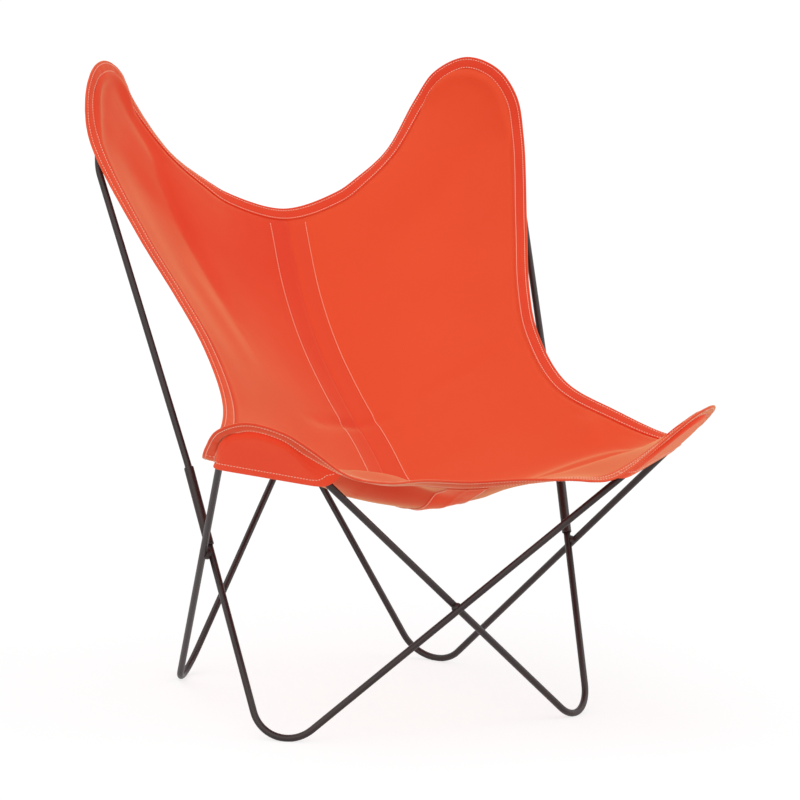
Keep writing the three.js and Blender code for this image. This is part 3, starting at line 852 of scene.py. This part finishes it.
def canvas_material(name, shades, band, panel=None, sheen=0.8, gathers=0.0):
    """Canvas with its weave, slubs and faded patches. band is a stripe of painted light or shade, given as
    (middle, half width, tint, share) along u, panel the tint and share of the cloth where u is above 0, and
    gathers the height of the puckers."""
    material, tree, shader = new_material(name)
    uv = node(tree, "ShaderNodeUVMap", uv_map="cloth")
    split = node(tree, "ShaderNodeSeparateXYZ")
    tree.links.new(uv.outputs[0], split.inputs[0])
    waves = [
        maths(tree, "SINE", maths(tree, "MULTIPLY", split.outputs[axis], math.pi / thread_width))
        for axis in ("X", "Y")
    ]
    weave = maths(tree, "MULTIPLY", *waves)
    place = node(tree, "ShaderNodeTexCoord")
    patches = noise(tree, place, scale=6.0, detail=4.0)
    slub = noise(tree, place, scale=900.0)
    patchy = maths(tree, "MULTIPLY", patches, patch_share)
    shade = maths(tree, "ADD", patchy, maths(tree, "MULTIPLY", slub, slub_share))
    colour = ramp(tree, shade, tone_places, shades)
    if panel:
        panel_tint, panel_share = panel
        colour = tinted(tree, colour, inside(tree, split.outputs["X"], panel_edge, panel_share), panel_tint)
    # The band paints light or shade into the colour along a stripe of u
    middle, half, tint, share = band
    off = maths(tree, "ABSOLUTE", maths(tree, "SUBTRACT", split.outputs["X"], middle))
    banded = inside(tree, maths(tree, "SUBTRACT", half, off), band_edge, share)
    tree.links.new(tinted(tree, colour, banded, tint), shader.inputs["Base Color"])
    woven = maths(tree, "MULTIPLY", weave, weave_relief)
    relief = maths(tree, "ADD", woven, maths(tree, "MULTIPLY", slub, slub_relief))
    if gathers:
        gathered = node(tree, "ShaderNodeTexNoise", Scale=1.0, Detail=1.0)
        stretch = node(tree, "ShaderNodeMapping", Scale=gather_stretch)
        tree.links.new(uv.outputs[0], stretch.inputs["Vector"])
        tree.links.new(stretch.outputs[0], gathered.inputs["Vector"])
        relief = maths(tree, "ADD", relief, maths(tree, "MULTIPLY", gathered.outputs["Fac"], gathers))
    bump(tree, shader, relief, strength=0.35, distance=0.12 * MM)
    shader.inputs["Roughness"].default_value = 0.7
    shader.inputs["Specular IOR Level"].default_value = 0.2
    shader.inputs["Sheen Weight"].default_value = sheen
    shader.inputs["Sheen Roughness"].default_value = 0.4
    shader.inputs["Sheen Tint"].default_value = (*sheen_tint, 1)
    return material


def thread_material():
    material, tree, shader = new_material("thread")
    twist = noise(tree, node(tree, "ShaderNodeTexCoord"), scale=1500.0)
    colour = ramp(tree, twist, (0.3, 0.7), thread_tones)
    tree.links.new(colour, shader.inputs["Base Color"])
    bump(tree, shader, twist, strength=0.3, distance=0.1 * MM)
    shader.inputs["Roughness"].default_value = 0.6
    shader.inputs["Sheen Weight"].default_value = 0.3
    return material


def paint_material():
    material, tree, shader = new_material("rod_paint")
    place = node(tree, "ShaderNodeTexCoord")
    cloud = noise(tree, place, scale=14.0, detail=5.0)
    colour = ramp(tree, cloud, (0.35, 0.7), paint_tones)
    tree.links.new(colour, shader.inputs["Base Color"])
    least_rough, rough_range = paint_rough
    rough = maths(tree, "ADD", maths(tree, "MULTIPLY", cloud, rough_range), least_rough)
    tree.links.new(rough, shader.inputs["Roughness"])
    bump(tree, shader, noise(tree, place, scale=650.0), strength=0.12, distance=0.1 * MM)
    shader.inputs["Specular IOR Level"].default_value = 0.4
    return material


# The sling's canvas, with painted shade over the strip
canvas = canvas_material("canvas", tones, (0, 30 * MM, strip_shade_tint, 0.3), panel=(right_tint, 0.75))
# The hem's canvas, with a painted highlight along its folded edge
hem_canvas = canvas_material("canvas_hem", tones, (0, 2 * MM, edge_highlight_tint, 0.5), gathers=8.0)
# Lighter canvas of the pockets and the strip: painted light, with a faint painted highlight along one edge
canvas_under_painted_light = canvas_material("canvas_under_painted_light", under_painted_light_tones, (0, 1 * MM, edge_highlight_tint, 0.1), sheen=0.5)
thread = thread_material()
paint = paint_material()

# Cloth of the two halves, in one sheet with a groove along the seam; its columns and rows lie closer
# together at the seam, the strip's edges and the hem
spans = len(column_places(1)[0]) - 1
seam_steps = np.array([0.0, 0.07, 0.16, 0.4, 0.8, 1.2, 1.55, 1.8, 1.93, 2.06, 2.25, 2.6])
edge_steps = np.array([0, 0.07, 0.15, 0.3, 0.5, 0.75])
columns = np.concatenate([
    seam_steps, np.linspace(3, spans - 1, (spans - 4) * columns_per_span + 1), spans - edge_steps[::-1],
])
rows = np.linspace(back_apex + 1, front_apex - 1, (front_apex - back_apex - 2) * rows_per_span + 1)
rows = np.concatenate([back_apex + edge_steps, rows, front_apex - edge_steps[::-1]])
left_points, _, _ = half_cloth(-1, columns, rows)
right_points, right_shares, down_share = half_cloth(1, columns, rows)
cloth_base = np.concatenate([left_points[:, :0:-1], right_points], axis=1)
base_normals = grid_normals(cloth_base)
seam_column = len(columns) - 1
across_share = np.concatenate([-right_shares[:0:-1], right_shares])
_, to_edge = nearest(cloth_base, inner_edge.at(np.arange(0, ring, edge_mark_step)))


def from_seam(points):
    """Signed distance of each grid point from the seam, along its row."""
    run = runs(points, 1)
    return run - run[:, seam_column:seam_column + 1]


def cloth_spot(across, down):
    """The point of the cloth at a share across, from -1 to 1, and a share down the flanks."""
    row = np.interp(down, down_share, np.arange(len(down_share)))
    column = np.interp(across, across_share, np.arange(len(across_share)))
    low, left = int(min(row, len(down_share) - 2)), int(min(column, len(across_share) - 2))
    a, b = row - low, column - left
    block = cloth_base[low:low + 2, left:left + 2]
    shares = np.outer([1 - a, a], [1 - b, b])
    return np.sum(block * shares[..., None], axis=(0, 1))


def fold_line(spots):
    """For each point of the cloth: how far the line through the spots is in millimetres, the fold's share
    of its height there, and on which side of the line the point lies."""
    marks = np.array([cloth_spot(across, down) for across, down in spots])
    curve = Spline(marks, closed=False).at(np.linspace(0, len(marks) - 1, fold_marks))
    line = even_steps(curve, fold_step)
    found, far = nearest(cloth_base, line)
    share = np.sqrt(np.sin(math.pi * np.clip(found / (len(line) - 1), *fold_ends)))
    ways = unit(np.gradient(line, axis=0))[found]
    sideways = np.sum(np.cross(base_normals, ways) * (cloth_base - line[found]), axis=-1)
    return far / MM, share, sideways


def relief():
    """How far each point of the cloth stands off its smooth surface."""
    room = np.clip(to_edge / seam_fade, 0, 1)
    height = seam_groove * np.exp(-(from_seam(cloth_base) / seam_width) ** 2) * room
    height += gutter_depth * np.exp(-(((to_edge - gutter_place) / gutter_width) ** 2))
    height += roll_height * np.exp(-(((to_edge - roll_place) / roll_width) ** 2))
    bends = np.zeros_like(height)
    for rise, width, spots in folds:
        far, share, _ = fold_line(spots)
        bends += rise * share * np.exp(-(far / width) ** 2)
    for rise, left, right, spots in creases:
        far, share, sideways = fold_line(spots)
        width = np.where(sideways > 0, right, left)
        bends += rise * share * np.exp(-(np.hypot(far, crease_soft) - crease_soft) / width)
    room = np.clip(to_edge / fold_room, 0, 1)
    return height + bends * MM * room**2 * (3 - 2 * room)


cloth_points = cloth_base + base_normals * relief()[..., None]
clear = cloth_clear + (hem_clear - cloth_clear) * np.exp(-(to_edge / hem_near) ** 2)
lifts = over_rods(cloth_points, base_normals, clear, tent_slope)
held = np.exp(-(to_edge / hem_hold) ** 2)[..., None]
cloth_points += lifts * held + eased(lifts) * (1 - held)
cloth_points += over_rods(cloth_points, base_normals, cloth_rest, tent_slope)
cloth_normals = grid_normals(cloth_points)
uv = cloth_uv(cloth_points)
uv[..., 0] = from_seam(cloth_points)
sling = grid_mesh("sling_cloth", cloth_points, canvas, uv)
solidify(sling, cloth_thickness)
subdivide(sling, 1)
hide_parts("sling_half_left", "sling_half_right")

# Hem: a folded band that grips the cloth's edge all the way round
hem_places = np.arange(0, ring, 1 / hem_steps)
hem_outer = outer_edge.at(hem_places)
hem_in = unit(inner_edge.at(hem_places) - hem_outer)
hem_along = unit(np.roll(hem_outer, -1, 0) - np.roll(hem_outer, 1, 0))
hem_normals = unit(np.cross(hem_in, hem_along))
hem_normals *= np.sign((hem_normals @ sitter).sum())
hem_run = lengths(hem_outer)


def hem_surface(inward, height):
    """The hem at this distance from its edge and height over its middle."""
    flat = hem_outer + hem_in * inward
    return flat + over_rods(flat, hem_normals, hem_clear, hem_slope) + hem_normals * height


rng = np.random.default_rng(pucker_seed)
pucker_phases = rng.uniform(0, 2 * np.pi, len(pucker_waves))
puckers = sum(
    share * np.sin(hem_run * 2 * np.pi / length + phase)
    for (length, share), phase in zip(pucker_waves, pucker_phases)
)
section = np.vstack([hem_profile, hem_profile[:0:-1] * (1, -1), hem_profile[:1]])
full = 1 + pucker_share * puckers[:, None]
hem_grid = np.stack([hem_surface(inward, height * full) for inward, height in section], axis=1)
hem_uv = np.stack(np.meshgrid(lengths(section), hem_run), axis=-1)
hem = grid_mesh("sling_hem", hem_grid, hem_canvas, hem_uv, wrap=True)
subdivide(hem, 1)
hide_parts("hem_back", "hem_front", "hem_side_left", "hem_side_right")


# Strip behind the seam, without the cloth's first and last rows
def at_distances(distances, values):
    """Values of the cloth's grid at these signed distances from the seam, row by row."""
    return np.stack([between(distances, run, row) for run, row in zip(from_seam(cloth_points), values)])


strip_across = np.linspace(-strip_half, strip_half, strip_columns)
strip_points = at_distances(strip_across, cloth_points - cloth_normals * strip_drop)[1:-1]
strip = grid_mesh("seam_strip_cloth", strip_points, canvas_under_painted_light, cloth_uv(strip_points))
solidify(strip, strip_thickness)
subdivide(strip, 1)
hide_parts("seam_strip")


# Pockets: from under the hem, round the back of the rod, to a straight mouth
def pocket_grid(peak, place, side, span):
    """A pocket's points, in columns from the hem to the mouth, and the way it faces."""
    away = -peak.sitter
    places = np.linspace(*span, (span[1] - span[0]) * pocket_columns_per_span + 1)
    hem_ids = np.round((places if side > 0 else ring - places) * hem_steps).astype(int) % len(hem_places)
    edge = hem_surface(pocket_tuck, -pocket_lift)[hem_ids]
    spots, _ = nearest(edge, rod_spots)
    way, rod = rod_ways[spots], rod_spots[spots]
    out = across_part(hem_outer[hem_ids] - rod, way)
    out = unit(out - away * (out @ away)[:, None])
    start, end = edge[0], edge[-1]
    chord = unit(end - start)
    inward = unit(peak.outward - chord * (peak.outward @ chord))
    legs = []
    for turn in (1, -1):
        point, along = peak.leg(turn)
        legs.append(point + along * ((start - point) @ inward) / (along @ inward))
    legs.sort(key=lambda leg: np.linalg.norm(leg - start))
    early, late = mouth_drops.get((place, side), (0, 0))
    first = legs[0] + away * pocket_drop - chord * pocket_drop - inward * early * MM
    second = legs[1] + away * pocket_drop + chord * pocket_drop - inward * late * MM
    steps = places - span[0]
    last = steps[-1]
    marks = [-mouth_past, mouth_corner, last - mouth_corner, last + mouth_past]
    mouth = between(steps, marks, np.array([start, first, second, end]))
    for _ in range(mouth_rounds):
        mouth[1:-1] = (mouth[:-2] + 2 * mouth[1:-1] + mouth[2:]) / 4
    snug = np.clip(np.minimum(steps, last - steps) / mouth_corner, 0, 1)[:, None]
    grid = [edge]
    for i, (reach, behind) in enumerate(pocket_wrap, start=1):
        wrapped = rod + out * reach * MM + away * behind * MM
        straight = edge + (mouth - edge) * pocket_pull * i
        grid.append(straight + (wrapped - straight) * snug)
    turned = grid[-1]
    grid += [turned + (mouth - turned) * share for share in pocket_shares]
    return np.stack(grid, axis=1), away


def up_from_mouth(column):
    """The point of a pocket's column that lies the mouth hem's width above the mouth."""
    up = column[::-1]
    return resample(up, [min(mouth_hem_width, mouth_hem_share * lengths(up)[-1])])[0]


pockets = []
pocket_rows = []
for (place, side), peak in peaks.items():
    grid, away = pocket_grid(peak, place, side, back_pocket if place == "back" else front_pocket)
    name = f"{place}_{'right' if side > 0 else 'left'}"
    pocket = grid_mesh(f"pocket_{name}_cloth", grid, canvas_under_painted_light, cloth_uv(grid))
    solidify(pocket, pocket_thickness)
    subdivide(pocket, 2)
    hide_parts(f"pocket_{name}")
    pockets.append(pocket)
    normals = grid_normals(grid)
    normals = normals * np.sign(normals.sum((0, 1)) @ away)
    mouth_hem = np.array([up_from_mouth(column) for column in grid])
    pocket_rows.append((mouth_hem[1:-1] + normals[1:-1, -2] * pocket_thickness / 2, normals[1:-1, -2]))

# Rods: round tubes in place of the faceted solids
tubes = []
for name, line in rod_lines.items():
    piece = tube(f"{name}_tube", line, rod_radius, rod_sides, paint)
    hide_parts(name)
    tubes.append(piece)

# Stitches
hem_rows = []
for inward in hem_row_places:
    for face in (1, -1):
        line = hem_surface(inward, hem_row_height * face)
        up = hem_normals * face
        hem_rows.append((np.vstack([line, line[:1]]), np.vstack([up, up[:1]])))
join_heights = np.interp(join_marks, *hem_profile.T)
for place in hem_joins:
    for way in (place, ring - place):
        spot = int(round(way * hem_steps))
        for face in (1, -1):
            across = [hem_surface(*mark)[spot] for mark in zip(join_marks, join_heights * face)]
            hem_rows.append((np.array(across), np.tile(hem_normals[spot] * face, (len(across), 1))))
hem_stitches = stitch_mesh("hem_stitches", hem_rows, thread)
seam_rows = []
shown = slice(hidden_rows, -hidden_rows)
for face, height in seam_row_heights.items():
    lines = at_distances([-strip_stitch, strip_stitch], cloth_points + cloth_normals * height * face)[shown]
    ups = at_distances([-strip_stitch, strip_stitch], cloth_normals * face)[shown]
    seam_rows += [(lines[:, k], unit(ups[:, k])) for k in (0, 1)]
seam_stitches = stitch_mesh("seam_stitches", seam_rows, thread)
pocket_stitches = stitch_mesh("pocket_stitches", pocket_rows, thread)

# Paint on the frame
for part in frame["nodes"].values():
    if part.hide_render:
        continue
    for spot in part.material_slots:
        spot.material = paint
    part.data.polygons.foreach_set("use_smooth", [True] * len(part.data.polygons))
    mod = part.modifiers.new("Crisp", "EDGE_SPLIT")
    mod.split_angle = crisp_angle

# Everything rides on the one body
body = next(iter(frame["bodies"]))
soft = [sling, hem, strip, *pockets, hem_stitches, seam_stitches, pocket_stitches]
for piece in soft + tubes:
    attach(piece, body)


# Floor, light and camera
def straight_rays(tree):
    """1 for rays that show the background: those of the camera, of gloss and through glass."""
    path = node(tree, "ShaderNodeLightPath")
    shown = maths(tree, "MAXIMUM", path.outputs["Is Camera Ray"], path.outputs["Is Glossy Ray"])
    return maths(tree, "MAXIMUM", shown, path.outputs["Is Transmission Ray"])


def show(tree, lit, seen, output):
    """Give straight rays the seen shader and all others the lit one."""
    mix = node(tree, "ShaderNodeMixShader")
    for source, socket in zip((straight_rays(tree), lit.outputs[0], seen.outputs[0]), mix.inputs):
        tree.links.new(source, socket)
    tree.links.new(mix.outputs[0], tree.nodes[output].inputs["Surface"])


bpy.ops.mesh.primitive_plane_add(size=floor_size)
floor = bpy.context.object
floor.name = "floor"
floor_material = bpy.data.materials.new("floor_paper")
floor_material.use_nodes = True
tree = floor_material.node_tree
tree.nodes.remove(tree.nodes["Principled BSDF"])
paper = node(tree, "ShaderNodeBsdfDiffuse", Color=(*[paper_share] * 3, 1))
catcher = node(tree, "ShaderNodeBsdfDiffuse", Color=(*[shadow_share] * 3, 1))
glow = node(tree, "ShaderNodeEmission", Color=(1, 1, 1, 1), Strength=floor_glow)
bright_paper = node(tree, "ShaderNodeAddShader")
tree.links.new(catcher.outputs[0], bright_paper.inputs[0])
tree.links.new(glow.outputs[0], bright_paper.inputs[1])
show(tree, paper, bright_paper, "Material Output")
floor.data.materials.append(floor_material)

world = bpy.data.worlds.new("studio")
bpy.context.scene.world = world
world.use_nodes = True
sky = world.node_tree.nodes["Background"]
sky.inputs["Color"].default_value = (1, 1, 1, 1)
sky.inputs["Strength"].default_value = sky_level
white = node(world.node_tree, "ShaderNodeBackground", Color=(1, 1, 1, 1), Strength=1.0)
show(world.node_tree, sky, white, "World Output")


def pointing(azimuth, elevation):
    """The direction at this azimuth, counted from the chair's back to its right, and this elevation."""
    a, e = math.radians(azimuth), math.radians(elevation)
    return Vector((math.sin(a) * math.cos(e), math.cos(a) * math.cos(e), math.sin(e)))


def sun(name, azimuth, elevation, level, softness):
    """A distant soft light; azimuth 0 stands in front of the chair and 90 at its right, in degrees."""
    data = bpy.data.lights.new(name, "SUN")
    data.energy = level
    data.angle = math.radians(softness)
    lamp = bpy.data.objects.new(name, data)
    bpy.context.collection.objects.link(lamp)
    lamp.rotation_euler = pointing(180 - azimuth, elevation).to_track_quat("Z", "Y").to_euler()


for name, values in suns.items():
    sun(name, *values)

forward = pointing(camera_azimuth, camera_elevation)
right = forward.cross(Vector((0, 0, 1))).normalized()
up = right.cross(forward)
roll = math.radians(camera_roll)
rolled_right = right * math.cos(roll) + up * math.sin(roll)
rolled_up = up * math.cos(roll) - right * math.sin(roll)
turn = Matrix((rolled_right, rolled_up, -forward)).transposed()
camera_data = bpy.data.cameras.new("camera")
camera_data.lens = camera_lens
camera_data.sensor_width = camera_sensor
camera_data.shift_x, camera_data.shift_y = camera_shift
camera_data.clip_end = camera_reach
camera = bpy.data.objects.new("camera", camera_data)
bpy.context.collection.objects.link(camera)
camera.matrix_world = Matrix.Translation(camera_place) @ turn.to_4x4()
bpy.context.scene.camera = camera
bpy.context.scene.view_settings.view_transform = "Standard"
